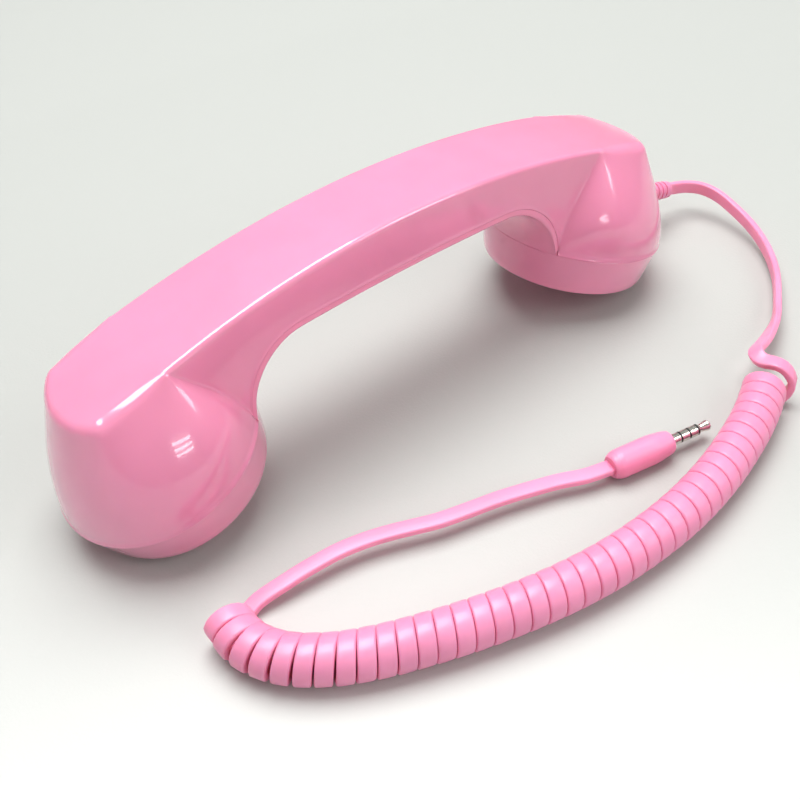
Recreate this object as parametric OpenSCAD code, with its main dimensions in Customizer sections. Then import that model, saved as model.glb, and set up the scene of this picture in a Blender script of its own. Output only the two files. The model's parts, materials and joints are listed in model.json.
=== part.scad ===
// Corded telephone handset with a curly cord and a four-pole audio plug.
// It lies face down: the rims of its two cups stand on z = 0, X runs from the ear cup (-X) to the
// mouth cup (+X), and the origin is on the floor under the middle of the handset.

/* [Handset] */
// Length over both cups
handset_l = 228; // [224:1:232]
// Height of the back of the handle at its middle
back_h = 69; // [68:0.5:70]
// Radius of the back's long arch
back_r = 302; // [300:1:310]
// Width of the back at its middle
waist_w = 30.4; // [29.6:0.2:31]
// Width of the back where it meets the cups
shoulder_w = 32.8; // [32.4:0.2:33.2]
// Height of the handle's underside at its middle
underside_h = 51.7; // [51.5:0.1:52]
// Radius of the underside's shallow arch
underside_r = 900; // [800:10:1000]
// Radius between the underside and the cups
underside_fillet = 20; // [19.5:0.5:20.5]
// Wall of the mouldings
wall = 2; // [1.8:0.1:2.2]

/* [Cups] */
// Radius of the rim where the two shells part
rim_r = 32; // [31.8:0.1:32.2]
// Radius of the cup's flat face
face_r = 29.1; // [29:0.1:29.3]
// Height of the band between the face and the rim
band_h = 13.6; // [13.4:0.1:13.8]
// Inward tilt of each cup
cup_tilt = 16.5; // [16:0.1:17]

/* [Call button] */
// Length of the button
button_l = 13; // [12:0.5:14]
// Width of the button
button_w = 8; // [7:0.5:8]
// How far the button stands out of the underside
button_proud = 1; // [0.8:0.1:1.2]

/* [Cord] */
// Outer diameter of the coiled part
coil_d = 13.4; // [13:0.1:13.8]
// Diameter of the plain tube that stands for the flat cord
tube_d = 3.8; // [3.4:0.1:4]
// Diameter of the plug's moulded grip
grip_d = 9; // [8.8:0.1:9.2]
// Length of the plug's moulded grip
grip_l = 21; // [20:0.5:22]

/* [Hidden] */
$fn = 64;

pink = [1, 0.62, 0.78];
hot_pink = [0.98, 0.5, 0.68];
steel = [0.72, 0.72, 0.74];
nickel = [0.8, 0.78, 0.74];
dark = [0.15, 0.15, 0.17];

// Cup frame: origin at the centre of the face, z up the cup's axis, x outwards along the handset
cup_x = handset_l / 2 - rim_r * cos(cup_tilt);
rim_z = band_h * cos(cup_tilt) + face_r * sin(cup_tilt);
face_x = cup_x - band_h * sin(cup_tilt);
face_z = face_r * sin(cup_tilt);
function cup_to_world(p) = [face_x + p.x * cos(cup_tilt) + p.z * sin(cup_tilt), p.y,
    face_z - p.x * sin(cup_tilt) + p.z * cos(cup_tilt)];

// Back outline over a cup: inner corner, outer corner and the middle of the rounded end
corner_x = 79.5;
outer_x = 100;
outer_w = 16;
end_x = 106;
end_phi = 42;
ridge_phi = 132;
draft = 0.06;
seam_rise = 2.2;
gap = 0.1;

// Underside arch: a shallow arc with a round corner at each cup
fillet_x = 36.8;
fillet_z = underside_h - underside_r + sqrt(pow(underside_r - underside_fillet, 2) - pow(fillet_x, 2));

function mix(a, b, f) = a + (b - a) * f;
function back_z(x) = back_h - back_r + sqrt(back_r * back_r - x * x);
function back_half_w(x) = mix(waist_w, shoulder_w, pow(min(abs(x) / corner_x, 1), 2)) / 2;
function bulge_at(s) = 4 * s * (1 - s) * (1.5 - s);

// Point of the back's outline over the cup at angle phi, 0 at the end, moved in by inset
function end_arc(phi, inset) =
    let (w = outer_w - inset, sag = end_x - outer_x, r = (w * w + sag * sag) / (2 * sag),
        a = asin(w / r) * phi / end_phi)
    [end_x - inset - r + r * cos(a), r * sin(a)];
function back_outline(phi, inset) = phi <= end_phi ? end_arc(phi, inset)
    : let (t = max((ridge_phi - phi) / (ridge_phi - end_phi), 0), f = t * t * (2 - t),
        g = max(phi - ridge_phi, 0) * 0.05)
        [mix(corner_x, outer_x - inset, f) - g, mix(shoulder_w / 2, outer_w, f) - inset];

// Where the rim circle meets the flat side of the handle
side_y = shoulder_w / 2 + draft * (back_z(corner_x) - rim_z);
function fan_phi(inset) = 180 - asin((side_y - inset) / (rim_r - inset));

// A column of the loft runs from the parting line up to the back: [bottom, top, bulge vector]
dome_phi = [142, 137, 132, 124, 115, 106, 97, 87, 76, 65, 53, 42, 33, 25, 17, 8, 0];
dome_steps = len(dome_phi);
handle_steps = 24;
rows = 6;
side_bulge = 4.2;
end_bulge = 1.3;
crease_bow = 2.2;
crease_dir = [-0.79, 0, 0.61];
function dome_out(phi) = let (v = [cos(phi), sin(phi), 0.35]) v / norm(v);
function to_world_dir(v) = [v.x * cos(cup_tilt) + v.z * sin(cup_tilt), v.y,
    -v.x * sin(cup_tilt) + v.z * cos(cup_tilt)];
function dome_bulge(phi) = let (w = pow((1 + cos(phi)) / 2, 2), amp = mix(side_bulge, end_bulge, w),
    v = to_world_dir(dome_out(phi)) * amp,
    f = min(max((phi - 106) / (fan_phi(0) - 106), 0), 1), g = f * f)
    v * (1 - g) + crease_dir * crease_bow * g;
function dome_column(phi, inset) = let (o = back_outline(phi, inset), r = rim_r - inset)
    [cup_to_world([r * cos(phi), r * sin(phi), band_h]), [o.x, o.y, back_z(o.x) - inset], dome_bulge(phi)];

// Seam along the handle, as a fraction f from the middle to the rim: arc, round corner, short drop
seam_flat = fillet_x;
seam_turn = (underside_fillet + seam_rise) * PI / 2;
function seam_xz(f) = let (d = f * (seam_flat + seam_turn))
    d < seam_flat
        ? [d, underside_h + seam_rise - underside_r + sqrt(underside_r * underside_r - d * d)]
        : let (a = 90 * (1 - (d - seam_flat) / seam_turn), r = underside_fillet + seam_rise)
            [fillet_x + r * cos(a), fillet_z + r * sin(a)];
function handle_column(f, inset) = let (b = seam_xz(f), x = f * (corner_x - 1.4), w = back_half_w(x) - inset)
    [[b.x, w + draft * (back_z(x) - b.y), b.y], [x, w, back_z(x) - inset],
        crease_dir * crease_bow * pow(f, 4)];
function quarter(inset) = concat(
    [for (i = [0 : handle_steps]) handle_column(i / handle_steps, inset)],
    [dome_column(fan_phi(inset), inset)], [for (phi = dome_phi) dome_column(phi, inset)]);
function flip(c, sx, sy) = [for (p = c) [p.x * sx, p.y * sy, p.z]];
last = handle_steps + dome_steps + 1;
columns_n = 4 * last;
function column_loop(inset) = let (q = quarter(inset)) concat(
    [for (i = [0 : last]) flip(q[i], 1, 1)], [for (i = [last - 1 : -1 : 0]) flip(q[i], 1, -1)],
    [for (i = [1 : last]) flip(q[i], -1, -1)], [for (i = [last - 1 : -1 : 1]) flip(q[i], -1, 1)]);
function loft_points(inset) = [for (c = column_loop(inset)) for (i = [0 : rows])
    let (s = i / rows) mix(c[0], c[1], s) + c[2] * bulge_at(s)];
function at(base, k, i) = base + (k % columns_n) * (rows + 1) + i;
function quad(a, b, c, d) = [[a, b, c], [a, c, d]];
function flat(lists) = [for (l = lists) each l];
function side_faces(base) = flat([for (k = [0 : columns_n - 1]) for (i = [0 : rows - 1])
    quad(at(base, k, i), at(base, k, i + 1), at(base, k + 1, i + 1), at(base, k + 1, i))]);
function back_faces(base) = flat([for (k = [0 : last - 1]) for (h = [0, 2 * last])
    let (a = at(base, h + k, rows), b = at(base, h + k + 1, rows),
        c = at(base, h + 2 * last - k - 1, rows), d = at(base, h + 2 * last - k, rows))
    k == last - 1 ? [[a, d, b]] : quad(a, d, c, b)]);
function reversed(faces) = [for (f = faces) [f[2], f[1], f[0]]];
inner_base = columns_n * (rows + 1);
parting_faces = flat([for (k = [0 : columns_n - 1])
    quad(at(0, k, 0), at(0, k + 1, 0), at(inner_base, k + 1, 0), at(inner_base, k, 0))]);

// Cup-frame places shared by several pieces
module at_cup(side) {
    mirror([side < 0 ? 1 : 0, 0, 0])
        translate([face_x, 0, face_z]) rotate([0, cup_tilt, 0]) children();
}
module both_cups() {
    for (side = [-1, 1]) at_cup(side) children();
}
floor_z0 = 10;
floor_z1 = 12;
boss_x = -2;
boss_y = 11;
boss_top = 46.5;
ballast_t = 4.5;
ballast_r = 22.2;
ballast_screw_y = 19;
exit_z = 19.9;
exit_len = 22;
exit_skin = 29.6;
exit_tip = exit_skin + exit_len;
cap_r = 26.8;
cap_t = 2.2;
ledge_r = 25.2;
cord_r = 1.85;

// Places along the handle
board_z = 59.1;
board_t = 1.2;
plate_top = underside_h + seam_rise - gap;
standoff_x = 14;

// Route of the cord from the strain relief to the coil, by hand
lead_route = [for (x = [0, 5]) cup_to_world([exit_tip + x, 0, exit_z])];
lead_path = concat(lead_route, [[144.5, -2, 10.6], [148.5, -6.5, 10], [150, -13, 9], [149, -22, 7],
    [145.5, -33, 5.5], [139, -44, 4.5], [130, -54, 4], [119, -62.5, 4], [108, -69, 4], [98, -74, 5],
    [89, -79, 6.5], [80, -84.5, 7.5]]);
// Middle line of the coil on the floor, from the handset's end to the plug's end
coil_xy = [[82, -88], [74, -92.5], [64, -97], [52, -101], [38, -104.5], [22, -106.8], [6, -107.2],
    [-10, -106], [-26, -103], [-42, -98.5], [-56, -93.5], [-70, -87.5], [-82, -81], [-91, -74], [-95, -66],
    [-95, -58.5]];
// Route of the cord from the coil to the plug
tail_path = [[-93.5, -58.5, 2.4], [-92, -56, 2.4], [-88, -54.5, 2.6], [-83, -54, 3.5], [-77, -53.6, 4.2],
    [-71, -53.4, 4.8], [-65, -53.6, 5.3], [-58.6, -54.4, 5.5], [-51, -56.2, 5.5], [-44.7, -58.4, 5.5],
    [-38, -61.2, 5.4], [-31.3, -64, 5.3], [-22, -66.6, 5.1], [-13, -69, 5], [-4, -72, 4.8],
    [5, -75.4, 4.6], [12, -78.8, 4.5], [20, -81.3, grip_d / 2]];
plug_at = [20, -81.3, grip_d / 2];
plug_turn = -11.6;
plug_r = 1.75;
insulator_t = 0.6;
ring_t = 2.5;
sleeve_t = 3.1;
tip_t = 4.1;

// Routes of the wires inside the handset
ear_wire_path = concat([for (t = [8, 14, 20, 28]) let (p = cup_to_world([12, 0, t])) [-p.x, p.y, p.z]],
    [[-88, 1, 44], [-78, 3, 51], [-66, 4, 55.5], [-50, 5, 59], [-35, 5, 61.2], [-24, 5, 61.6], [-18, 5, 61.2]]);
mouth_wire_path = concat([for (t = [8.8, 14, 20, 27]) cup_to_world([0, 0, t])],
    [[86, -2, 43], [78, -3, 51], [66, -4, 55.5], [50, -5, 59], [35, -5, 61.2], [24, -5, 61.6], [18, -5, 61.2]]);
cord_wire_path = concat([for (p = [[8, 0, 19.9], [5.5, 1.5, 21.5], [4, 3, 26]]) cup_to_world(p)],
    [[84, 4, 42], [77, 4, 50], [66, 4, 55.5], [50, 5, 59], [35, 5, 61.2], [24, 5, 61.6], [18, 5, 61.2]]);

// A tube of radius r along a path, with rings square to it; up keeps the rings from twisting
module sweep(path, r, sides, up = [0, 0, 1]) {
    n = len(path);
    function dir(i) = let (v = path[min(i + 1, n - 1)] - path[max(i - 1, 0)]) v / norm(v);
    points = [for (i = [0 : n - 1]) let (d = dir(i), x = cross(d, up), a = x / norm(x), b = cross(a, d))
        for (j = [0 : sides - 1]) path[i] + r * (a * sin(360 * j / sides) - b * cos(360 * j / sides))];
    walls = flat([for (i = [0 : n - 2]) for (j = [0 : sides - 1]) let (k = (j + 1) % sides)
        quad(i * sides + j, (i + 1) * sides + j, (i + 1) * sides + k, i * sides + k)]);
    ends = [[for (j = [0 : sides - 1]) j], [for (j = [sides - 1 : -1 : 0]) (n - 1) * sides + j]];
    polyhedron(points = points, faces = concat(walls, ends));
}
// Slot-shaped outline with round ends, its length along X
module slot(l, w) {
    square([l - w, w], center = true);
    for (s = [-1, 1]) translate([s * (l - w) / 2, 0]) circle(d = w);
}
module on_rings(counts, pitch) {
    for (k = [0 : len(counts) - 1]) for (i = [0 : counts[k] - 1])
        rotate(360 * i / counts[k]) translate([k * pitch, 0, 0]) children();
}
// Pan-head screw, head below z = 0, shank going up
module screw(shank_r, shank_l, head_r, head_t) {
    cylinder(r = shank_r, h = shank_l);
    translate([0, 0, -head_t]) difference() {
        cylinder(r = head_r, h = head_t);
        for (a = [0, 90]) rotate(a) translate([0, 0, 0.4])
            cube([head_r * 1.2, 0.6, 1.2], center = true);
    }
}

// ---- Shells ----
module outer_shell() color(pink) difference() {
    polyhedron(points = concat(loft_points(0), loft_points(wall)),
        faces = concat(side_faces(0), back_faces(0), reversed(side_faces(inner_base)),
            reversed(back_faces(inner_base)), parting_faces));
    at_cup(1) translate([exit_skin - 8, 0, exit_z]) rotate([0, 90, 0]) cylinder(r = 3.4, h = 14);
}
module screw_posts() color(pink) both_cups() for (s = [-1, 1])
    translate([boss_x, s * boss_y, floor_z1 + gap]) difference() {
        cylinder(r = 3, h = boss_top - floor_z1 - gap);
        translate([0, 0, -1]) cylinder(r = 1.35, h = 13);
    }

// Side view of the finger gap, grown by g
module gap_outline(g) {
    intersection() {
        translate([0, underside_h - underside_r]) circle(r = underside_r + g);
        translate([-fillet_x, -60]) square([2 * fillet_x, 200]);
    }
    for (s = [-1, 1]) translate([s * fillet_x, fillet_z]) circle(r = underside_fillet + g);
    translate([-fillet_x - underside_fillet - g, -60])
        square([2 * (fillet_x + underside_fillet + g), 60 + fillet_z]);
}
plate_w = 32.2;
flare_r = 860;
plate_low = 30.6;
module handle_plate() {
    intersection() {
        rotate([90, 0, 0]) linear_extrude(60, center = true) intersection() {
            difference() {
                gap_outline(seam_rise - gap);
                gap_outline(0);
            }
            translate([-80, plate_low]) square([160, 60]);
        }
        translate([0, 0, plate_low - 5]) linear_extrude(80) difference() {
            square([160, 60], center = true);
            for (s = [-1, 1]) translate([0, s * (flare_r + plate_w / 2)]) circle(r = flare_r, $fn = 720);
        }
    }
    for (s = [-1, 1]) translate([s * standoff_x, 0, underside_h + 1])
        difference() {
            cylinder(r = 2.6, h = board_z - underside_h - 1);
            translate([0, 0, 2]) cylinder(r = 0.95, h = 10);
        }
}
module cup_band() {
    rotate_extrude($fn = 96) polygon([[cap_r + 0.15, 0], [face_r, 0], [rim_r, band_h - gap],
        [rim_r - wall, band_h - gap], [rim_r - wall - 0.6, 4], [ledge_r, 4], [ledge_r, cap_t + 0.1],
        [cap_r + 0.15, cap_t + 0.1]]);
    difference() {
        translate([0, 0, floor_z0]) cylinder(r = rim_r - wall - 0.1, h = floor_z1 - floor_z0);
        translate([0, 0, floor_z0 - 1]) {
            cylinder(r = 8.6, h = 4);
            for (s = [-1, 1]) {
                translate([boss_x, s * boss_y, 0]) cylinder(r = 1.6, h = 4);
                translate([0, s * ballast_screw_y, 0]) cylinder(r = 1.6, h = 4);
            }
            translate([12, 0, 0]) cylinder(r = 2.2, h = 4);
        }
    }
    // Neck between the rim and the handle's plate
    difference() {
        intersection() {
            translate([0, 0, band_h - wall]) cylinder(r = rim_r - 0.05, h = 17);
            translate([-40, -neck_w / 2, 0]) cube([neck_x, neck_w, 40]);
        }
        translate([0, 0, band_h - wall - 1]) cylinder(r = rim_r - 3.5, h = 20);
    }
}
neck_w = 30.2;
neck_x = 15;
module inner_shell() color(pink) difference() {
    union() {
        handle_plate();
        both_cups() cup_band();
    }
    translate([0, 0, underside_h - 5]) linear_extrude(12) slot(button_l + 0.4, button_w + 0.4);
}

// ---- Caps, speaker and microphone ----
module cap(hole_rings, hole_pitch, hole_r, holder_r) {
    difference() {
        union() {
            cylinder(r = cap_r, h = cap_t);
            translate([0, 0, cap_t]) difference() {
                cylinder(r = ledge_r - 0.15, h = 2.6);
                translate([0, 0, -1]) cylinder(r = ledge_r - 1.6, h = 5);
            }
            translate([0, 0, cap_t]) difference() {
                cylinder(r = holder_r + 1.4, h = 2);
                translate([0, 0, -1]) cylinder(r = holder_r, h = 5);
            }
        }
        translate([0, 0, -1]) on_rings(hole_rings, hole_pitch) cylinder(r = hole_r, h = 5);
    }
}
module ear_cap() color(pink) at_cup(-1) cap([1, 6, 12], 4.4, 1.1, 16.2);
module mouth_cap() color(pink) at_cup(1) cap([1, 6], 3, 0.9, 6.55);
module ear_dust_cloth() color(dark) at_cup(-1) translate([0, 0, cap_t]) cylinder(r = 12.8, h = 0.2);
module mouth_dust_cloth() color(dark) at_cup(1) translate([0, 0, cap_t]) cylinder(r = 4.7, h = 0.2);
module speaker_gasket() color(dark) at_cup(-1) rotate_extrude()
    polygon([[13, 2.2], [16, 2.2], [16, 2.7], [13, 2.7]]);
module speaker_diaphragm() color([0.85, 0.85, 0.8]) at_cup(-1) rotate_extrude()
    polygon([[0, 4.1], [5, 3.8], [12.8, 3], [12.8, 3.3], [5, 4.1], [0, 4.4]]);
module speaker_frame() color(steel) at_cup(-1) rotate_extrude()
    polygon([[13, 2.7], [16, 2.7], [16, 3.9], [13.6, 3.9], [11, 6.4], [3, 6.4], [3, 5.6], [10.4, 5.6],
        [12.9, 3.6], [13, 3.6]]);
module speaker_magnet() color(dark) at_cup(-1) translate([0, 0, 6.4]) cylinder(r = 8, h = 3);
module speaker_terminal_board() color([0.2, 0.45, 0.25]) at_cup(-1) translate([8.3, -3, 6.4])
    cube([6, 6, 0.8]);
module microphone_capsule() color(steel) at_cup(1) translate([0, 0, 2.6]) cylinder(r = 4.9, h = 6);
module microphone_boot() color(dark) at_cup(1) rotate_extrude()
    polygon([[4.95, 2.2], [6.5, 2.2], [6.5, 8], [4.95, 8]]);

// ---- Ballast and screws in the cups ----
module ballast() difference() {
    translate([0, 0, floor_z1]) cylinder(r = ballast_r, h = ballast_t);
    translate([0, 0, floor_z1 - 1]) {
        cylinder(r = 7, h = 9);
        for (s = [-1, 1]) {
            translate([boss_x, s * boss_y, 0]) cylinder(r = 3.5, h = 9);
            translate([0, s * ballast_screw_y, 0]) cylinder(r = 1.35, h = 9);
            translate([15, s * 5, 0]) cylinder(r = 1.2, h = 9);
        }
        translate([12, 0, 0]) cylinder(r = 2.2, h = 9);
    }
}
module ear_ballast() color(steel) at_cup(-1) ballast();
module mouth_ballast() color(steel) at_cup(1) ballast();
module ballast_screws() color(steel) both_cups() for (s = [-1, 1])
    translate([0, s * ballast_screw_y, floor_z0]) screw(1.3, 6, 2.4, 2);
module shell_screws() color(steel) both_cups() for (s = [-1, 1])
    translate([boss_x, s * boss_y, floor_z0]) screw(1.3, 12, 2.4, 2);

// ---- Handle electronics and the call button ----
module circuit_board() color([0.15, 0.4, 0.22]) difference() {
    translate([-21, -8, board_z]) cube([42, 16, board_t]);
    for (s = [-1, 1]) translate([s * standoff_x, 0, board_z - 1]) cylinder(r = 1.2, h = 4);
}
module board_screws() color(steel) for (s = [-1, 1]) translate([s * standoff_x, 0, board_z + board_t])
    mirror([0, 0, 1]) screw(0.9, 5, 1.9, 1.5);
module board_components() color(dark) translate([0, 0, board_z + board_t]) {
    translate([-6, -4, 0]) cylinder(r = 2, h = 3.6);
    for (x = [0, 3, 6]) translate([x, 2, 0]) cube([1.2, 2, 0.7]);
    translate([3, -5, 0]) cube([5, 4, 1.4]);
}
button_face = underside_h - button_proud;
flange_z = plate_top + 0.1;
flange_t = 0.8;
switch_z = flange_z + flange_t + 0.8;
module tact_switch() color(dark) difference() {
    translate([-3, -3, switch_z]) cube([6, 6, board_z - switch_z]);
    translate([0, 0, switch_z - 1]) cylinder(r = 1.75, h = 2.8);
}
module switch_plunger() color(steel) translate([0, 0, flange_z + flange_t]) cylinder(r = 1.7, h = 1.6);
module call_button() color(hot_pink) {
    translate([0, 0, button_face]) linear_extrude(flange_z + 0.1 - button_face) slot(button_l, button_w);
    translate([0, 0, flange_z]) linear_extrude(flange_t) slot(button_l + 2, button_w + 2);
}

// ---- Wires inside the handset ----
module speaker_wires() color("red") sweep(ear_wire_path, 0.7, 8, [0, 1, 0]);
module microphone_wires() color("gold") sweep(mouth_wire_path, 0.7, 8, [0, 1, 0]);
module cord_wires() color("white") sweep(cord_wire_path, 0.8, 8, [0, 1, 0]);

// ---- Cord, strain relief and clamp ----
module along_exit(from) at_cup(1) translate([from, 0, exit_z]) rotate([0, 90, 0]) children();
module cord_inner_end() color(pink) along_exit(8) cylinder(r = cord_r, h = exit_tip - 8);
rib_n = 6;
rib_pitch = 2.6;
module cord_strain_relief() color(pink) along_exit(0) difference() {
    rotate_extrude() polygon([[0, 22.6], [4.6, 22.6], [4.6, 24], [3.3, 24], [3.3, 32.2], [4, 32.6],
        [3.2, exit_tip], [0, exit_tip]]);
    translate([0, 0, 20]) cylinder(r = cord_r + 0.03, h = 40);
    for (i = [0 : rib_n - 1]) translate([0, 0, 35 + i * rib_pitch]) rotate_extrude()
        translate([2.75, 0]) square([3, 0.9]);
}
clamp_z = floor_z1 + ballast_t + gap;
module cord_clamp() color([0.9, 0.9, 0.88]) at_cup(1) difference() {
    translate([12, -7.5, clamp_z]) cube([6, 15, 6]);
    translate([10, 0, exit_z]) rotate([0, 90, 0]) cylinder(r = cord_r + 0.05, h = 10);
    for (s = [-1, 1]) translate([15, s * 5, clamp_z - 1]) cylinder(r = 1.2, h = 9);
}
module clamp_screws() color(steel) at_cup(1) for (s = [-1, 1]) translate([15, s * 5, clamp_z + 6])
    mirror([0, 0, 1]) screw(1.1, 9, 2, 1.5);
module cord_lead() color(pink) sweep(lead_path, tube_d / 2, 8);
module cord_coil() color(hot_pink)
    sweep([for (p = coil_xy) [p.x, p.y, coil_d / 2]], coil_d / 2, 12);
module cord_tail() color(pink) sweep(tail_path, tube_d / 2, 8);

// ---- Plug ----
module along_plug(from) translate(plug_at) rotate([0, 90, plug_turn]) translate([0, 0, from]) children();
module plug_grip() color(pink) along_plug(0) difference() {
    rotate_extrude() polygon([[0, 0], [3.3, 0], [3.7, 0.5], [4.3, 1.8], [grip_d / 2, 3.2],
        [grip_d / 2, grip_l - 7], [4.35, grip_l - 5.2], [3.75, grip_l - 1.2], [3.5, grip_l - 0.4],
        [3.1, grip_l], [0, grip_l]]);
    translate([0, 0, grip_l - 6]) cylinder(r = shank_r, h = 8);
}
core_r = 0.6;
shank_r = 1.4;
module plug_segment(from, length, outer_r) along_plug(grip_l + from) difference() {
    cylinder(r = outer_r, h = length);
    translate([0, 0, -1]) cylinder(r = core_r, h = length + 2);
}
ring_a = sleeve_t + insulator_t;
ring_b = ring_a + ring_t + insulator_t;
tip_a = ring_b + ring_t + insulator_t;
module plug_sleeve() color(nickel) {
    plug_segment(-6, 6, shank_r);
    plug_segment(0, sleeve_t, plug_r);
}
module plug_microphone_ring() color(nickel) plug_segment(ring_a, ring_t, plug_r);
module plug_ground_ring() color(nickel) plug_segment(ring_b, ring_t, plug_r);
module plug_tip() color(nickel) along_plug(grip_l) {
    translate([0, 0, -5]) cylinder(r = core_r, h = tip_a + 5.2);
    translate([0, 0, tip_a]) rotate_extrude()
        polygon([[0, 0], [plug_r, 0], [1.15, 1], [1.7, 3.6], [1.45, tip_t], [0, tip_t]]);
}
module plug_insulators() color(dark) for (z = [sleeve_t, ring_a + ring_t, ring_b + ring_t])
    plug_segment(z, insulator_t, plug_r);

outer_shell();
screw_posts();
inner_shell();
ear_cap();
mouth_cap();
ear_dust_cloth();
mouth_dust_cloth();
speaker_gasket();
speaker_diaphragm();
speaker_frame();
speaker_magnet();
speaker_terminal_board();
microphone_capsule();
microphone_boot();
ear_ballast();
mouth_ballast();
ballast_screws();
shell_screws();
circuit_board();
board_components();
board_screws();
tact_switch();
switch_plunger();
call_button();
speaker_wires();
microphone_wires();
cord_wires();
cord_inner_end();
cord_clamp();
clamp_screws();
cord_strain_relief();
cord_lead();
cord_coil();
cord_tail();
plug_grip();
plug_sleeve();
plug_microphone_ring();
plug_ground_ring();
plug_tip();
plug_insulators();
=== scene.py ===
"""Look of a pink retro telephone handset with a curly cord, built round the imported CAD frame."""
import json
import math

import bmesh
import bpy
import numpy as np
from mathutils import Matrix, Vector


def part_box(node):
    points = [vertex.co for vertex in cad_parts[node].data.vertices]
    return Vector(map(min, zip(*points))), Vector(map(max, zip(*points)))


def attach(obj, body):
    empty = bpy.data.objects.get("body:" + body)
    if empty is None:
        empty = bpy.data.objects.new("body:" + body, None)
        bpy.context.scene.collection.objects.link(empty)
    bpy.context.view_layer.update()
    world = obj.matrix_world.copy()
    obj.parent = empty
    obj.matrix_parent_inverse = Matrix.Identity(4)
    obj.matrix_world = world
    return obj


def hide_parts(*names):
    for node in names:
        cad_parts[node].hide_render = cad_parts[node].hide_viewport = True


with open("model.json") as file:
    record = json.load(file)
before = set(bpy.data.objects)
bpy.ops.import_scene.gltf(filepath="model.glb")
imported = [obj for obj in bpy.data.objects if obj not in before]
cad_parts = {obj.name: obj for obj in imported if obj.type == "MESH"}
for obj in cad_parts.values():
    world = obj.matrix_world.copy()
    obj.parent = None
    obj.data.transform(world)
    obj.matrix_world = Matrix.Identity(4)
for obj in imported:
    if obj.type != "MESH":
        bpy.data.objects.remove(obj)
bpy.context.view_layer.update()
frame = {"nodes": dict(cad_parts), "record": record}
HANDSET = "handset"
MM = 0.001

# ---------------------------------------------------------------- camera


CAMERA_AZIMUTH, CAMERA_ELEVATION, CAMERA_ROLL = (math.radians(a) for a in (-33.46, 43.52, -5.96))
CAMERA_PLACE = (-133.15, -205.21, 218.81)
LENS = 43.55


def make_camera():
    azimuth, elevation, roll = CAMERA_AZIMUTH, CAMERA_ELEVATION, CAMERA_ROLL
    back = Vector((
        math.sin(azimuth) * math.cos(elevation),
        -math.cos(azimuth) * math.cos(elevation),
        math.sin(elevation),
    ))
    right = (-back).cross(Vector((0, 0, 1))).normalized()
    up = right.cross(-back)
    side = math.cos(roll) * right + math.sin(roll) * up
    top = -math.sin(roll) * right + math.cos(roll) * up
    data = bpy.data.cameras.new("camera")
    data.sensor_width = 36
    data.lens = LENS
    camera = bpy.data.objects.new("camera", data)
    basis = Matrix((side, top, back)).transposed()
    place = Vector(CAMERA_PLACE) * MM
    camera.matrix_world = Matrix.Translation(place) @ basis.to_4x4()
    bpy.context.scene.collection.objects.link(camera)
    bpy.context.scene.camera = camera


make_camera()

# ---------------------------------------------------------------- mesh helpers


def mesh_object(name, points, faces):
    """Smooth-shaded mesh in the scene, from points in metres."""
    mesh = bpy.data.meshes.new(name)
    mesh.from_pydata([tuple(p) for p in points], [], [tuple(f) for f in faces])
    mesh.validate()
    mesh.update()
    obj = bpy.data.objects.new(name, mesh)
    bpy.context.scene.collection.objects.link(obj)
    mesh.polygons.foreach_set("use_smooth", [True] * len(mesh.polygons))
    return obj


def unit(v):
    v = np.asarray(v, float)
    return v / np.linalg.norm(v)


def tangents(path):
    path = np.asarray(path, float)
    t = np.gradient(path, axis=0)
    return t / np.linalg.norm(t, axis=1, keepdims=True)


def spline(points, n):
    """n points, evenly spaced along a smooth curve through the given points."""
    p = np.asarray(points, float)
    p = np.vstack([2 * p[0] - p[1], p, 2 * p[-1] - p[-2]])
    fine = []
    for i in range(1, len(p) - 2):
        a, b, c, d = p[i - 1], p[i], p[i + 1], p[i + 2]
        ab, bc, cd = (max(np.linalg.norm(q - r), 1e-9) ** 0.5 for q, r in ((b, a), (c, b), (d, c)))
        m1 = (c - b) + bc * ((b - a) / ab - (c - a) / (ab + bc))
        m2 = (c - b) + bc * ((d - c) / cd - (d - b) / (bc + cd))
        for u in np.linspace(0, 1, 40, endpoint=False):
            h = (2 * u**3 - 3 * u**2 + 1, u**3 - 2 * u**2 + u, -2 * u**3 + 3 * u**2, u**3 - u**2)
            fine.append(h[0] * b + h[1] * m1 + h[2] * c + h[3] * m2)
    fine.append(p[-2])
    fine = np.array(fine)
    run = np.concatenate([[0], np.cumsum(np.linalg.norm(np.diff(fine, axis=0), axis=1))])
    at = np.linspace(0, run[-1], n)
    return np.stack([np.interp(at, run, fine[:, k]) for k in range(3)], axis=1)


# ---------------------------------------------------------------- handset's shape, in mm
HALF_LENGTH = 114
# Cups: inward tilt, radius at the rim where the shells part and at the flat face, height between them
TILT = math.radians(16.5)
RIM_R, FACE_R, BAND_H = 32.0, 29.1, 13.6
CUP_X = HALF_LENGTH - RIM_R * math.cos(TILT)
FACE = np.array([CUP_X - BAND_H * math.sin(TILT), 0, FACE_R * math.sin(TILT)])
OUT = np.array([math.cos(TILT), 0, -math.sin(TILT)])
RISE = np.array([math.sin(TILT), 0, math.cos(TILT)])
ACROSS = np.array([0, 1.0, 0])
# Back: height and radius of its arch, then its half outline from the waist to the rounded end
BACK_H, BACK_R = 69.0, 302.0
CORNER_X, CORNER_W, WAIST_W = 79.5, 16.4, 15.2
OUTER_X, OUTER_W, END_X = 100.0, 16.0, 106.0
# The handle's columns stop this far short of the back's inner corner
CORNER_EASE = 1.4
# Degrees round the cup, 0 at its end: outer corner, inner corner, start of the ease into the crease
END_PHI, RIDGE_PHI, EASE_PHI = 42.0, 132.0, 106.0
# Degrees over which the back's outline is rounded, lower down the dome and at the back itself
OUTLINE_BLUR, KEEN_BLUR = 15, 8
# Outward slope of the handle's sides, per mm down
DRAFT = 0.06
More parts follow.
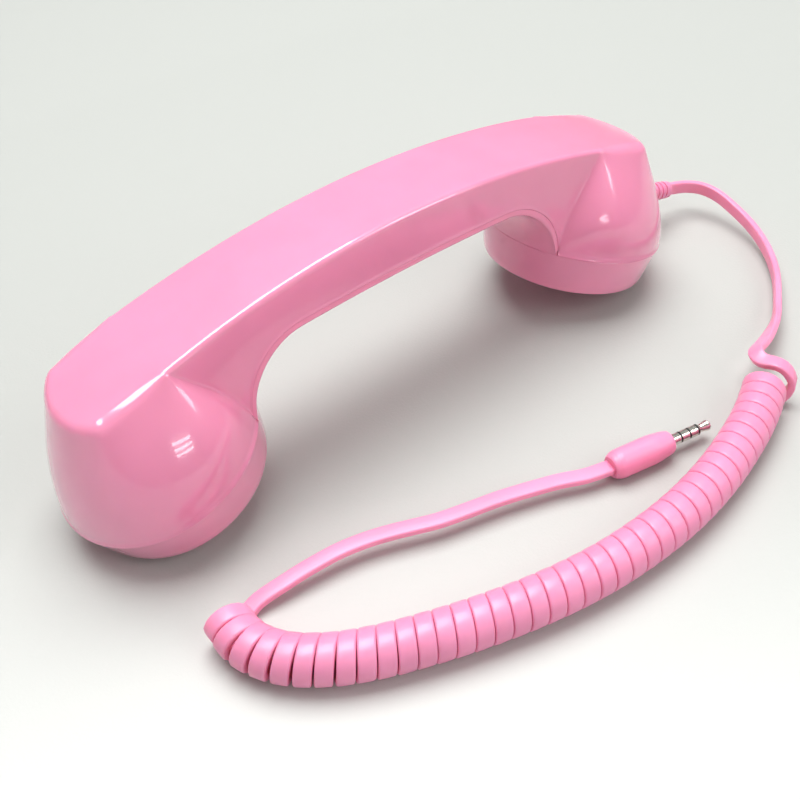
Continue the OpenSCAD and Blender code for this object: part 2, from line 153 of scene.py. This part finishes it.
# Underside: height and radius of its arch, radius of its corner at the cup; the seam is above it
UNDER_H, UNDER_R, FILLET_R = 51.7, 900.0, 20.0
SEAM = 2.2
FILLET_X = 36.8
FILLET_Z = UNDER_H - UNDER_R + math.sqrt((UNDER_R - FILLET_R) ** 2 - FILLET_X**2)
# How far the walls bow out: the dome's sides, the dome's end, and the crease beside the handle
SIDE_BULGE, END_BULGE, CREASE_BOW = 4.2, 1.3, 2.2
CREASE_DIR = np.array([-0.79, 0, 0.61])
# Radius of the back's edge along the handle and round the dome's end
EDGE_R, CORNER_R = 1.7, 5.2
WALL = 2.0
SIDE_ROWS, EDGE_ROWS, INNER_ROWS = 22, 8, 7
HANDLE_COLUMNS, FAN_COLUMNS, DOME_COLUMNS, BACK_STRIPS = 44, 10, 84, 8
# Small bead along the outer shell's rim: height above the seam and how far it stands out
BEAD = ((0, 0), (0.02, 0.1), (0.1, 0.2), (0.24, 0.26), (0.42, 0.25), (0.62, 0.17))
BEAD_TOP = 0.9
SEAM_INSET, SEAM_GAP = 0.12, 0.02
# How far the dome may stand past the rim's cylinder, how softly it stops, and over which degrees that fades
RIM_SLACK, RIM_EASE, TUCK_PHI = 0.15, 0.25, 9


def cup_point(x, y, z, side=1):
    p = FACE + OUT * x + ACROSS * y + RISE * z
    return p * np.array([side, 1, 1])


def back_z(x):
    return BACK_H - BACK_R + math.sqrt(BACK_R**2 - x * x)


def back_half_w(x):
    return WAIST_W + (CORNER_W - WAIST_W) * min(abs(x) / CORNER_X, 1) ** 2


def smoothstep(a, b, x):
    t = min(max((x - a) / (b - a), 0), 1)
    return t * t * (3 - 2 * t)


def end_arc(phi, inset):
    w, sag = OUTER_W - inset, END_X - OUTER_X
    r = (w * w + sag * sag) / (2 * sag)
    a = math.asin(w / r) * phi / END_PHI
    return END_X - inset - r + r * math.cos(a), r * math.sin(a)


def back_outline(phi, inset):
    if phi <= END_PHI:
        return end_arc(phi, inset)
    t = max((RIDGE_PHI - phi) / (RIDGE_PHI - END_PHI), 0)
    f = t * t * (2 - t)
    x = CORNER_X + (OUTER_X - inset - CORNER_X) * f + (RIDGE_PHI - phi) * 0.05 * (1 - f)
    return x, CORNER_W + (OUTER_W - CORNER_W) * f - inset


def soft_outline(phi, inset, width=OUTLINE_BLUR):
    """The back's outline with its corners rounded away over some degrees."""
    spread = np.linspace(-2 * width, 2 * width, 25)
    weight = np.exp(-((spread / width) ** 2))
    points = []
    for d in spread:
        q = min(phi + d, RIDGE_PHI)
        x, y = back_outline(abs(q), inset)
        points.append((x, y if q >= 0 else -y))
    return tuple(np.average(np.array(points), axis=0, weights=weight))


def fan_phi(inset):
    side_y = CORNER_W + DRAFT * (back_z(CORNER_X) - (BAND_H * math.cos(TILT) + FACE[2]))
    return 180 - math.degrees(math.asin((side_y - inset) / (RIM_R - inset)))


def dome_bulge(phi):
    p = math.radians(phi)
    w = ((1 + math.cos(p)) / 2) ** 2
    v = unit([math.cos(p), math.sin(p), 0.35])
    v = (OUT * v[0] + ACROSS * v[1] + RISE * v[2]) * (SIDE_BULGE * (1 - w) + END_BULGE * w)
    f = min(max((phi - EASE_PHI) / (fan_phi(0) - EASE_PHI), 0), 1) ** 2
    return v * (1 - f) + CREASE_DIR * CREASE_BOW * f


def seam_xz(f, grow=SEAM):
    """Point of the side view's seam at fraction f from the middle to the rim."""
    turn = (FILLET_R + SEAM) * math.pi / 2
    d = f * (FILLET_X + turn)
    if d < FILLET_X:
        return d, UNDER_H + grow - UNDER_R + math.sqrt(UNDER_R**2 - d * d)
    a = math.pi / 2 * (1 - (d - FILLET_X) / turn)
    r = FILLET_R + grow
    return FILLET_X + r * math.cos(a), FILLET_Z + r * math.sin(a)


def column(kind, u, inset):
    """Bottom, top, bulge, inward direction on the back, inward direction at the seam, edge radius."""
    if kind == "handle":
        x, z = seam_xz(u)
        tx = u * (CORNER_X - CORNER_EASE)
        w = back_half_w(tx) - inset
        bottom = np.array([x, w + DRAFT * (back_z(tx) - z), z])
        top = np.array([tx, w, back_z(tx) - inset])
        inward = np.array([0, -1.0, 0])
        return bottom, top, CREASE_DIR * CREASE_BOW * u**4, inward, inward, EDGE_R
    p = math.radians(u)
    r = RIM_R - inset
    bottom = FACE + OUT * r * math.cos(p) + ACROSS * r * math.sin(p) + RISE * BAND_H
    keen = smoothstep(84, 116, u)
    sharp, soft = back_outline(u, inset), soft_outline(u, inset, KEEN_BLUR)
    ox, oy = (k * keen + q * (1 - keen) for k, q in zip(sharp, soft))
    top = np.array([ox, oy, back_z(ox) - inset])
    turned = smoothstep(26, 58, u)
    a = math.radians(90 * turned + u * 0.55 * (1 - turned))
    slope = -ox / math.sqrt(BACK_R**2 - ox * ox)
    inward = np.array([-math.cos(a), -math.sin(a), -math.cos(a) * slope])
    radial = -(OUT * math.cos(p) + ACROSS * math.sin(p))
    wide = (1 - smoothstep(92, 134, u)) * (0.7 + 0.3 * smoothstep(30, 60, u))
    edge = EDGE_R + (CORNER_R - EDGE_R) * wide
    return bottom, top, dome_bulge(u), unit(inward), radial, edge


def bulge_at(s):
    """How much of the bulge shows at fraction s from the rim to the back, most below the middle."""
    return 4 * s * (1 - s) * (1.5 - s)


def tuck(p, share):
    """Draws a point of the dome in, so that it doesn't hang over the rim's cylinder."""
    x, y, z = (p - FACE) @ OUT, p[1], (p - FACE) @ RISE
    r, limit = math.hypot(x, y), RIM_R + RIM_SLACK
    kept = limit - RIM_EASE * math.log1p(math.exp((limit - r) / RIM_EASE))
    k = 1 - share + share * kept / r
    return FACE + OUT * x * k + ACROSS * y * k + RISE * z


def outer_rows(kind, u):
    """One column of the outer skin: the bead at the rim, the bulging side, and the rounded edge."""
    bottom, top, bulge, inward, seam_in, edge = column(kind, u, 0)
    soft = np.zeros(3)
    if kind == "dome":
        ox, oy = soft_outline(u, 0)
        soft = (np.array([ox, oy, back_z(ox)]) - top) * (1 - smoothstep(118, fan_phi(0), u))

    def side(s):
        low = 1 - smoothstep(0.35, 1.0, s)
        p = bottom * (1 - s) + (top + soft * low) * s + bulge * bulge_at(s)
        if kind == "handle":
            return p
        return tuck(p, 1 - smoothstep(fan_phi(0) - TUCK_PHI, fan_phi(0), u))

    height = np.linalg.norm(top - bottom)
    s_edge = 1 - edge / height
    down = unit(side(s_edge) - top)
    half = math.acos(max(-1, min(1, float(down @ inward)))) / 2
    reach = edge / math.tan(half)
    s_edge = 1 - reach / height
    down = unit(side(s_edge) - top)
    start = side(s_edge)
    reach = np.linalg.norm(start - top)
    centre_dir = unit(down + inward)
    half = math.acos(float(down @ centre_dir))
    radius = reach * math.tan(half)
    centre = top + centre_dir * reach / math.cos(half)
    rise = unit(top - bottom)
    rows = [bottom + seam_in * SEAM_INSET + rise * (h + SEAM_GAP) - seam_in * out for h, out in BEAD]
    first = BEAD_TOP / height
    for i in range(1, SIDE_ROWS + 1):
        rows.append(side(first + (s_edge - first) * i / SIDE_ROWS))
    a, b = start - centre, top + inward * reach - centre
    a, b = unit(a), unit(b)
    sweep = math.acos(max(-1, min(1, float(a @ b))))
    for i in range(1, EDGE_ROWS + 1):
        t = i / EDGE_ROWS
        d = (math.sin((1 - t) * sweep) * a + math.sin(t * sweep) * b) / math.sin(sweep)
        rows.append(centre + d * radius)
    return rows


def inner_rows(kind, u):
    """One column of the wall's inner face."""
    bottom, top, bulge, _, _, _ = column(kind, u, WALL)
    fractions = np.linspace(0, 1, INNER_ROWS)
    return [bottom * (1 - s) + top * s + bulge * bulge_at(s) for s in fractions]


def quarter_params():
    fan = fan_phi(0)
    params = [("handle", i / HANDLE_COLUMNS) for i in range(HANDLE_COLUMNS + 1)]
    params += [("dome", fan + (RIDGE_PHI - fan) * i / FAN_COLUMNS) for i in range(FAN_COLUMNS)]
    params += [("dome", RIDGE_PHI * (1 - i / DOME_COLUMNS)) for i in range(DOME_COLUMNS + 1)]
    return params


def mirror_loop(quarter):
    """All round, from one quarter's columns of shape (columns, rows, 3)."""
    q = np.asarray(quarter)
    return np.concatenate([
        q, q[-2::-1] * [1, -1, 1], q[1:] * [-1, -1, 1], q[-2:0:-1] * [-1, 1, 1],
    ])


def make_outer_shell():
    """Handle's back and both domes as one wall, with an inner face."""
    params = quarter_params()
    outer = mirror_loop([outer_rows(k, u) for k, u in params])
    inner_q = []
    for k, u in params:
        if k == "dome":
            u = u * fan_phi(WALL) / fan_phi(0)
        inner_q.append(inner_rows(k, u))
    inner = mirror_loop(inner_q)
    n, rows, inner_n = len(outer), outer.shape[1], inner.shape[1]
    points = list(outer.reshape(-1, 3)) + list(inner.reshape(-1, 3))
    base = n * rows
    faces = []
    for k in range(n):
        j = (k + 1) % n
        for i in range(rows - 1):
            faces.append((k * rows + i, k * rows + i + 1, j * rows + i + 1, j * rows + i))
        for i in range(inner_n - 1):
            a, b = base + k * inner_n + i, base + j * inner_n + i
            faces.append((a, b, b + 1, a + 1))
        faces.append((k * rows, j * rows, base + j * inner_n, base + k * inner_n))
    last = len(params) - 1

    def cap(start, step, flip):
        """Closes the back between the two long sides with strips across it."""
        ids = {}
        for h in (0, 2 * last):
            for k in range(last + 1):
                a = start + ((h + k) % n) * step + step - 1
                b = start + ((h + 2 * last - k) % n) * step + step - 1
                if k == last:
                    ids[h, k] = [a] * (BACK_STRIPS + 1)
                    continue
                if h and not k:
                    ids[h, k] = ids[0, 0][::-1]
                    continue
                pa, pb = np.asarray(points[a]), np.asarray(points[b])
                row = [a]
                for i in range(1, BACK_STRIPS):
                    points.append(pa + (pb - pa) * i / BACK_STRIPS)
                    row.append(len(points) - 1)
                ids[h, k] = row + [b]
            for k in range(last):
                r0, r1 = ids[h, k], ids[h, k + 1]
                for i in range(BACK_STRIPS):
                    f = [r0[i], r0[i + 1], r1[i + 1], r1[i]]
                    f = [v for m, v in enumerate(f) if v not in f[:m]]
                    if len(f) > 2:
                        faces.append(tuple(f[::-1]) if flip else tuple(f))

    cap(0, rows, False)
    cap(base, inner_n, True)
    obj = mesh_object("outer_shell_skin", np.array(points) * MM, faces)
    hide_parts("outer_shell")
    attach(obj, HANDSET)
    return obj


outer_shell = make_outer_shell()


def underside(f, y):
    """Underside of the handle, running into the cup's band, at fraction f from the middle."""
    turn = (FILLET_R + SEAM) * math.pi / 2
    d = f * (FILLET_X + turn)
    if d < FILLET_X:
        return d, UNDER_H - UNDER_R + math.sqrt(UNDER_R**2 - d * d)
    end = cup_point(-math.sqrt(RIM_R**2 - y * y), y, BAND_H)
    start_z = UNDER_H - UNDER_R + math.sqrt(UNDER_R**2 - FILLET_X**2)
    a = math.pi / 2 * (1 - (d - FILLET_X) / turn)
    return FILLET_X + (end[0] - FILLET_X) * math.cos(a), end[2] + (start_z - end[2]) * math.sin(a)


def strip_section(f):
    """Closed cross-section of the handle's lower moulding at fraction f, from +y round below to -y."""
    sx, sz = seam_xz(f)
    tx = f * (CORNER_X - CORNER_EASE)
    ys = back_half_w(tx) + DRAFT * (back_z(tx) - sz)
    ux, uz = underside(f, ys)
    seam, low = np.array([sx, sz]), np.array([ux, uz])
    gap = np.linalg.norm(low - seam)
    down = (low - seam) / gap
    r = 0.03 + min(0.9, 0.4 * gap) * (1 - smoothstep(0.86, 1, f))
    rows = [(ys - 1.6, seam - down * 1.6), (ys - 0.8, seam - down * 1.6), (ys - 0.5, seam + down * 0.02),
            (ys - 0.1, seam + down * 0.03), (ys - 0.02, seam + down * 0.1), (ys, seam + down * 0.22)]
    for i in range(5):
        a = math.pi / 2 * i / 4
        rows.append((ys - r * (1 - math.cos(a)), low - down * r * (1 - math.sin(a))))
    for i in range(1, 13):
        y = (ys - r) * (1 - i / 12)
        rows.append((y, np.array(underside(f, y))))
    half = [(q[0], y + DRAFT * (sz - q[1]) * min(y / ys, 1), q[1]) for y, q in rows]
    return half + [(x, -y, z) for x, y, z in half[-2::-1]]


# Cuts for the call button: name, growth of the button's box, bottom and top, in metres
BUTTON_CUTS = (("button hole", -0.0016, 0.0465, 0.0565), ("flange pocket", 0.0004, 0.0538, 0.0600))
# Cup's lower ring in mm, as radius and height above the face, from the cap's seat round to the rim
BAND_PROFILE = [(26.95, 2.3), (26.95, 0.3), (27.05, 0.08), (27.3, 0)]
BAND_PROFILE += [(28.2 + 0.85 * math.sin(a), 0.85 * (1 - math.cos(a))) for a in np.linspace(0.1, 1.35, 6)]
BAND_PROFILE += [(FACE_R + (RIM_R - FACE_R) * t / BAND_H, t) for t in np.linspace(1.6, 12.9, 8)]
BAND_PROFILE += [(31.96, 13.3), (31.97, 13.48), (31.9, 13.56), (31.75, 13.6), (31.5, 13.62),
                 (31.5, 15.2), (30.5, 15.2), (29.4, 4), (25.2, 4), (25.2, 2.3)]
BAND_STEPS = 200


def make_inner_shell():
    """Handle's lower moulding with the button's cuts, joined with the two cups' lower rings."""
    steps = list(np.linspace(0, 0.51, 9)) + list(np.linspace(0.55, 1.0, 34))
    sections = [strip_section(f) for f in steps]
    sections = [[(-x, y, z) for x, y, z in q] for q in sections[:0:-1]] + sections
    m = len(sections[0])
    points = [p for q in sections for p in q]
    faces = []
    for k in range(len(sections) - 1):
        for j in range(m):
            a, b = k * m + j, k * m + (j + 1) % m
            faces.append((a, b, b + m, a + m))
    faces += [tuple(range(m))[::-1], tuple((len(sections) - 1) * m + j for j in range(m))]
    strip = mesh_object("inner_shell_skin", np.array(points) * MM, faces)
    low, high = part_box("call_button")
    cutters = []
    for name, grow, floor_z, top_z in BUTTON_CUTS:
        bpy.ops.mesh.primitive_cylinder_add(vertices=96, radius=1, depth=1)
        cutter = bpy.context.object
        length, width = (high - low)[0] + grow, (high - low)[1] + grow
        for v in cutter.data.vertices:
            v.co = Vector((
                v.co.x * width / 2 + math.copysign((length - width) / 2, v.co.x),
                v.co.y * width / 2, floor_z + (v.co.z + 0.5) * (top_z - floor_z),
            ))
        cut = strip.modifiers.new(name, "BOOLEAN")
        cut.object = cutter
        cut.solver = "EXACT"
        cutters.append(cutter)
    bpy.context.view_layer.update()
    done = strip.evaluated_get(bpy.context.evaluated_depsgraph_get())
    mesh = bpy.data.meshes.new_from_object(done)
    strip.modifiers.clear()
    strip.data = mesh
    for cutter in cutters:
        bpy.data.objects.remove(cutter)
    n = len(BAND_PROFILE)
    for side in (-1, 1):
        points, faces = [], []
        for k in range(BAND_STEPS):
            a = 2 * math.pi * k / BAND_STEPS
            points += [cup_point(r * math.cos(a), r * math.sin(a), t, side) for r, t in BAND_PROFILE]
        for k in range(BAND_STEPS):
            after = (k + 1) % BAND_STEPS
            for j in range(n):
                a, b = k * n + j, k * n + (j + 1) % n
                c, d = after * n + (j + 1) % n, after * n + j
                faces.append((a, b, c, d) if side < 0 else (d, c, b, a))
        ring = mesh_object(f"band_{side}", np.array(points) * MM, faces)
        bm = bmesh.new()
        bm.from_mesh(strip.data)
        bm.from_mesh(ring.data)
        bm.to_mesh(strip.data)
        bm.free()
        bpy.data.objects.remove(ring)
    bm = bmesh.new()
    bm.from_mesh(strip.data)
    bmesh.ops.recalc_face_normals(bm, faces=bm.faces)
    bm.to_mesh(strip.data)
    bm.free()
    smooth_by_angle(strip, 32)
    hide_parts("inner_shell")
    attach(strip, HANDSET)
    return strip


def smooth_by_angle(obj, degrees):
    """Smooth shading that breaks at edges sharper than the angle."""
    bm = bmesh.new()
    bm.from_mesh(obj.data)
    for f in bm.faces:
        f.smooth = True
    for e in bm.edges:
        e.smooth = e.calc_face_angle(0) < math.radians(degrees)
    bm.to_mesh(obj.data)
    bm.free()


inner_shell = make_inner_shell()

# ---------------------------------------------------------------- cord
CORD_W, CORD_T, CORD_EDGE, CORD_CROWN = 4.8, 2.3, 0.65, 0.04
COIL_D, TURNS = 13.4, 41
PER_TURN = 20
EXIT_HEIGHT = 19.9
# Points over which the coil's first turn straightens out, and those left off where the lead takes over
HOOK, START_CUT = 28, 8
HOOK_OUT, HOOK_BACK, HOOK_SIDE = 1.2, 3.6, 3.6


def exit_point(x):
    """Point on the axis of the strain relief, x from the cup's axis."""
    return cup_point(x, 0, EXIT_HEIGHT)


LEAD = [exit_point(51.6), exit_point(56.6), (144.5, -2, 10.6), (148.5, -6.5, 10), (150, -13, 9),
        (149.4, -22, 7), (146.2, -33, 5.5), (140.2, -44, 4.5), (131.4, -54.6, 4), (120.6, -63.6, 4),
        (110, -70.8, 5), (101.5, -74.8, 6.6), (94, -77.8, 8.6), (88, -79.8, 10.4),
        (84, -81, 11.7), (82.6, -82.6, 12.3)]
COIL = [(82, -88), (74, -92.5), (64, -97), (52, -101), (38, -104.5), (22, -106.8), (6, -107.2),
        (-10, -106), (-26, -103), (-42, -98.5), (-56, -93.5), (-70, -87.5), (-81, -81), (-89.5, -73),
        (-94, -64), (-94.6, -54.5)]
TAIL = [(-86, -51.6, 2.2), (-81.5, -52, 3.4), (-76, -52.6, 4.3), (-70.5, -53, 4.9), (-65, -53.6, 5.3),
        (-58.6, -54.4, 5.5), (-51, -56.2, 5.5), (-44.7, -58.4, 5.5), (-38, -61.2, 5.4),
        (-31.3, -64, 5.3), (-22, -66.6, 5.1), (-13, -69, 5), (-4, -72, 4.8), (5, -75.4, 4.6),
        (12, -78.8, 4.5), (20.5, -81.4, 4.5)]


def coil_path():
    """Centreline of the turns, and the outward direction of the ribbon's flat side at each point."""
    axis = spline([(x, y, COIL_D / 2) for x, y in COIL], TURNS * PER_TURN + 1)
    along = tangents(axis)
    side = np.cross(along, [0, 0, 1.0])
    side /= np.linalg.norm(side, axis=1, keepdims=True)
    up = np.cross(side, along)
    steps = np.arange(len(axis))
    turn = math.pi * 1.5 + 2 * math.pi * (steps - steps[-1]) / PER_TURN
    radial = np.cos(turn)[:, None] * side + np.sin(turn)[:, None] * up
    r = np.full((len(axis), 1), COIL_D / 2 - CORD_T / 2)
    path = axis + radial * r
    for i in range(HOOK):
        f = 1 - i / HOOK
        f = f * f * (3 - 2 * f)
        path[i] += (radial[i] * HOOK_OUT - along[i] * HOOK_BACK - side[i] * HOOK_SIDE) * f
    return path[START_CUT:], radial[START_CUT:]


def ribbon(name, path, flat):
    """Sweeps the flat cord's rounded section; flat is the direction its thin side faces."""
    path = np.asarray(path)
    along = tangents(path)
    flat = np.asarray(flat) - (np.asarray(flat) * along).sum(1, keepdims=True) * along
    flat /= np.linalg.norm(flat, axis=1, keepdims=True)
    wide = np.cross(along, flat)
    section = []
    w, t = CORD_W / 2, CORD_T / 2
    r = CORD_EDGE
    for sx, sy, a0 in ((1, -1, -90), (1, 1, 0), (-1, 1, 90), (-1, -1, 180)):
        for a in np.linspace(a0, a0 + 90, 5):
            a = math.radians(a)
            section.append((sx * (w - r) + r * math.cos(a), sy * (t - r) + r * math.sin(a)))
        if sx == sy:
            section.append((0, sy * (t + CORD_CROWN)))
    n, m = len(path), len(section)
    points = np.concatenate([
        path[i] + np.array([c * wide[i] + d * flat[i] for c, d in section]) for i in range(n)
    ])
    faces = [
        (i * m + j, i * m + (j + 1) % m, (i + 1) * m + (j + 1) % m, (i + 1) * m + j)
        for i in range(n - 1) for j in range(m)
    ]
    faces += [tuple(range(m))[::-1], tuple((n - 1) * m + j for j in range(m))]
    points[:, 2] = np.maximum(points[:, 2], 0)
    return mesh_object(name, points * MM, faces)


def make_cord():
    """Lead, coil and tail in one flat strip, from the strain relief to the plug's grip."""
    coil, radial = coil_path()
    lead = spline(LEAD + [coil[0] + (coil[0] - coil[1])], 90)
    tail = spline([coil[-1] + (coil[-1] - coil[-3])] + TAIL, 70)
    path = np.vstack([lead, coil, tail])
    n_lead, n_coil = len(lead), len(coil)
    up = np.array([0, 0, 1.0])
    flat = np.vstack([np.tile(up, (n_lead, 1)), radial, np.tile(up, (len(tail), 1))])
    on_edge = np.cross(tangents(lead), up)
    for i in range(n_lead):
        f = smoothstep(0.66, 0.92, i / (n_lead - 1))
        flat[i] = on_edge[i] * (1 - f) + radial[0] * f
    for i in range(len(tail)):
        flat[n_lead + n_coil + i] = radial[-1]
    for _ in range(3):
        lo, hi = n_lead - 8, n_lead + 6
        path[lo:hi] = (path[lo - 1:hi - 1] + 2 * path[lo:hi] + path[lo + 1:hi + 1]) / 4
        lo, hi = n_lead + n_coil - 6, n_lead + n_coil + 8
        path[lo:hi] = (path[lo - 1:hi - 1] + 2 * path[lo:hi] + path[lo + 1:hi + 1]) / 4
    obj = ribbon("curly_cord", path, flat)
    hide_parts("cord_lead", "cord_coil", "cord_tail")
    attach(obj, HANDSET)
    return obj


cord = make_cord()

# ---------------------------------------------------------------- materials


def material(name, color, roughness, **sockets):
    mat = bpy.data.materials.new(name)
    mat.use_nodes = True
    tree = mat.node_tree
    shader = tree.nodes["Principled BSDF"]
    shader.inputs["Base Color"].default_value = (*color, 1)
    shader.inputs["Roughness"].default_value = roughness
    for key, value in sockets.items():
        shader.inputs[key.replace("_", " ")].default_value = value
    return mat, tree, shader


def add_noise(tree, scale, detail):
    coords = tree.nodes.new("ShaderNodeTexCoord")
    noise = tree.nodes.new("ShaderNodeTexNoise")
    noise.inputs["Scale"].default_value = scale
    noise.inputs["Detail"].default_value = detail
    tree.links.new(coords.outputs["Object"], noise.inputs["Vector"])
    return noise


def add_ramp(tree, source, lo, hi, a, b):
    ramp = tree.nodes.new("ShaderNodeMapRange")
    ramp.inputs["From Min"].default_value = lo
    ramp.inputs["From Max"].default_value = hi
    ramp.inputs["To Min"].default_value = a
    ramp.inputs["To Max"].default_value = b
    tree.links.new(source, ramp.inputs["Value"])
    return ramp.outputs["Result"]


def add_bump(tree, shader, source, strength, distance):
    bump = tree.nodes.new("ShaderNodeBump")
    bump.inputs["Strength"].default_value = strength
    bump.inputs["Distance"].default_value = distance
    tree.links.new(source, bump.inputs["Height"])
    tree.links.new(bump.outputs["Normal"], shader.inputs["Normal"])


def add_tint(tree, shader, source, a, b, lo=0.35, hi=0.65):
    mix = tree.nodes.new("ShaderNodeMix")
    mix.data_type = "RGBA"
    mix.inputs["A"].default_value = (*a, 1)
    mix.inputs["B"].default_value = (*b, 1)
    tree.links.new(add_ramp(tree, source, lo, hi, 0, 1), mix.inputs["Factor"])
    tree.links.new(mix.outputs["Result"], shader.inputs["Base Color"])


def moulded(name, color, roughness, spread=0.04, bump=0.05, wave=45, **sockets):
    """Moulded plastic: slow colour drift, smudged gloss and a faint orange-peel surface."""
    mat, tree, shader = material(name, color, roughness, **sockets)
    drift = add_noise(tree, wave, 2)
    dark = [c * (1 - spread) for c in color]
    lite = [min(c * (1 + spread), 1) for c in color]
    add_tint(tree, shader, drift.outputs["Fac"], dark, lite)
    smudge = add_noise(tree, wave * 3.3, 3)
    rough = add_ramp(tree, smudge.outputs["Fac"], 0.3, 0.7, roughness * 0.85, roughness * 1.2)
    tree.links.new(rough, shader.inputs["Roughness"])
    peel = add_noise(tree, 900, 1)
    add_bump(tree, shader, peel.outputs["Fac"], bump, 0.0002)
    return mat


def metal(name, color, roughness, grain=0.15):
    mat, tree, shader = material(name, color, roughness, Metallic=1.0)
    noise = add_noise(tree, 1400, 3)
    rough = add_ramp(tree, noise.outputs["Fac"], 0.3, 0.7, roughness * 0.7, roughness * 1.4)
    tree.links.new(rough, shader.inputs["Roughness"])
    add_bump(tree, shader, noise.outputs["Fac"], grain, 0.00005)
    return mat


PINK = (0.92, 0.275, 0.44)
MATS = {
    "pink_shell": moulded("pink_gloss", PINK, 0.16, 0.03, 0.03,
                          Subsurface_Weight=0.12, Coat_Weight=0.8, Coat_Roughness=0.025),
    "pink_button": moulded("pink_button_gloss", (0.93, 0.22, 0.42), 0.2),
    "pink_cord": moulded("pink_soft_pvc", (0.92, 0.27, 0.45), 0.38, 0.05, 0.12,
                         Subsurface_Weight=0.15),
    "dark_cloth": moulded("black_felt", (0.02, 0.02, 0.022), 0.9, 0.3, 0.6),
    "dark_rubber": moulded("black_rubber", (0.025, 0.025, 0.027), 0.6, 0.2, 0.2),
    "diaphragm_film": moulded("cream_film", (0.7, 0.67, 0.58), 0.35),
    "plated_steel": metal("zinc_steel", (0.62, 0.62, 0.64), 0.3),
    "magnet": moulded("ferrite", (0.06, 0.06, 0.065), 0.5, 0.2, 0.3),
    "board_laminate": moulded("green_laminate", (0.03, 0.2, 0.07), 0.35, 0.15, 0.1),
    "capsule_aluminium": metal("spun_aluminium", (0.8, 0.8, 0.8), 0.25),
    "ballast_steel": metal("dull_steel", (0.42, 0.42, 0.44), 0.45),
    "dark_plastic": moulded("black_plastic", (0.012, 0.012, 0.013), 0.35, 0.2, 0.08),
    "wire_red": moulded("red_wire", (0.5, 0.02, 0.02), 0.4),
    "wire_yellow": moulded("yellow_wire", (0.7, 0.48, 0.04), 0.4),
    "wire_white": moulded("white_wire", (0.75, 0.74, 0.7), 0.4),
    "clamp_plastic": moulded("natural_nylon", (0.72, 0.7, 0.64), 0.45),
    "plug_nickel": metal("bright_nickel", (0.8, 0.77, 0.7), 0.2, 0.05),
}
SLOT_OF = {s["node"]: s["material_slot"] for s in frame["record"]["subparts"]}


def dress(obj, slot):
    obj.data.materials.clear()
    obj.data.materials.append(MATS[slot])


for node_name, node in frame["nodes"].items():
    dress(node, SLOT_OF[node_name])
dress(outer_shell, "pink_shell")
dress(inner_shell, "pink_shell")
dress(cord, "pink_cord")


# ---------------------------------------------------------------- floor and light


def area_light(name, place, target, size, power, shows, size_y=None):
    """Lamp that lights only the diffuse or only the glossy part of a surface."""
    data = bpy.data.lights.new(name, "AREA")
    data.shape = "RECTANGLE"
    data.size = size
    data.size_y = size_y or size
    data.energy = power
    lamp = bpy.data.objects.new(name, data)
    lamp.location = place
    lamp.rotation_euler = (Vector(target) - Vector(place)).to_track_quat("-Z", "Y").to_euler()
    lamp.visible_glossy = shows == "glossy"
    lamp.visible_diffuse = shows == "diffuse"
    lamp.visible_transmission = False
    bpy.context.scene.collection.objects.link(lamp)


def card(name, origin, direction, distance, size, size_y, radiance):
    """Light seen only in reflections, placed along a direction from a point on the handset."""
    place = Vector(origin) + Vector(direction).normalized() * distance
    area_light(name, place, origin, size, radiance * math.pi * size * size_y, "glossy", size_y)


def make_world():
    """Grey surroundings, a little brighter overhead."""
    world = bpy.data.worlds.new("studio")
    bpy.context.scene.world = world
    world.use_nodes = True
    tree = world.node_tree
    coords = tree.nodes.new("ShaderNodeTexCoord")
    split = tree.nodes.new("ShaderNodeSeparateXYZ")
    tree.links.new(coords.outputs["Generated"], split.inputs["Vector"])
    level = add_ramp(tree, split.outputs["Z"], 0.0, 0.75, 0.22, 0.34)
    background = tree.nodes["Background"]
    background.inputs["Color"].default_value = (0.98, 1, 0.98, 1)
    tree.links.new(level, background.inputs["Strength"])


# Floor's colour beyond the handset, and the lighter colour in front of it, which is painted sheen standing
# in for a frontal lamp's glare
FLOOR_FAR, FLOOR_NEAR_PAINTED_SHEEN = (0.44, 0.452, 0.43), (0.56, 0.57, 0.55)


def make_stage():
    bpy.ops.mesh.primitive_plane_add(size=6, location=(0, 0, -0.0002))
    floor = bpy.context.object
    floor.name = "floor"
    mat, tree, shader = material("pale_paper_painted_sheen", (0.5, 0.5, 0.48), 0.55)
    # Painted sheen: the floor's colour grows lighter towards the viewer, in place of a lamp's glare on it
    coords = tree.nodes.new("ShaderNodeTexCoord")
    depth = tree.nodes.new("ShaderNodeVectorMath")
    depth.operation = "DOT_PRODUCT"
    depth.inputs[1].default_value = (-0.55, -0.83, 0)
    tree.links.new(coords.outputs["Object"], depth.inputs[0])
    add_tint(tree, shader, depth.outputs["Value"], FLOOR_FAR, FLOOR_NEAR_PAINTED_SHEEN, 0.055, 0.135)
    add_bump(tree, shader, add_noise(tree, 1100, 3).outputs["Fac"], 0.25, 0.0003)
    floor.data.materials.append(mat)
    make_world()
    area_light("key", (0.25, 0.42, 1.6), (0, 0, 0), 1.4, 44.0, "diffuse")
    area_light("fill", (0.5, -1.1, 0.9), (0, 0, 0), 0.9, 7.6, "diffuse")
    area_light("left", (-1.2, -0.5, 0.6), (0, 0, 0), 0.8, 1.5, "diffuse")
    card("edge", (-0.08, -0.015, 0.06), (0, 0.18, 1), 1.0, 0.9, 0.62, 10)
    card("ridge", (-0.05, -0.015, 0.066), (0.54, -0.60, 0.59), 1.0, 0.22, 0.5, 6)
    for i in range(3):
        card(f"pane_{i}", (0, -0.025, 0.035), (-0.1, -0.93, 0.23 + 0.055 * i), 1.4, 0.4, 0.035, 11)


make_stage()
scene = bpy.context.scene
scene.view_settings.view_transform = "Standard"
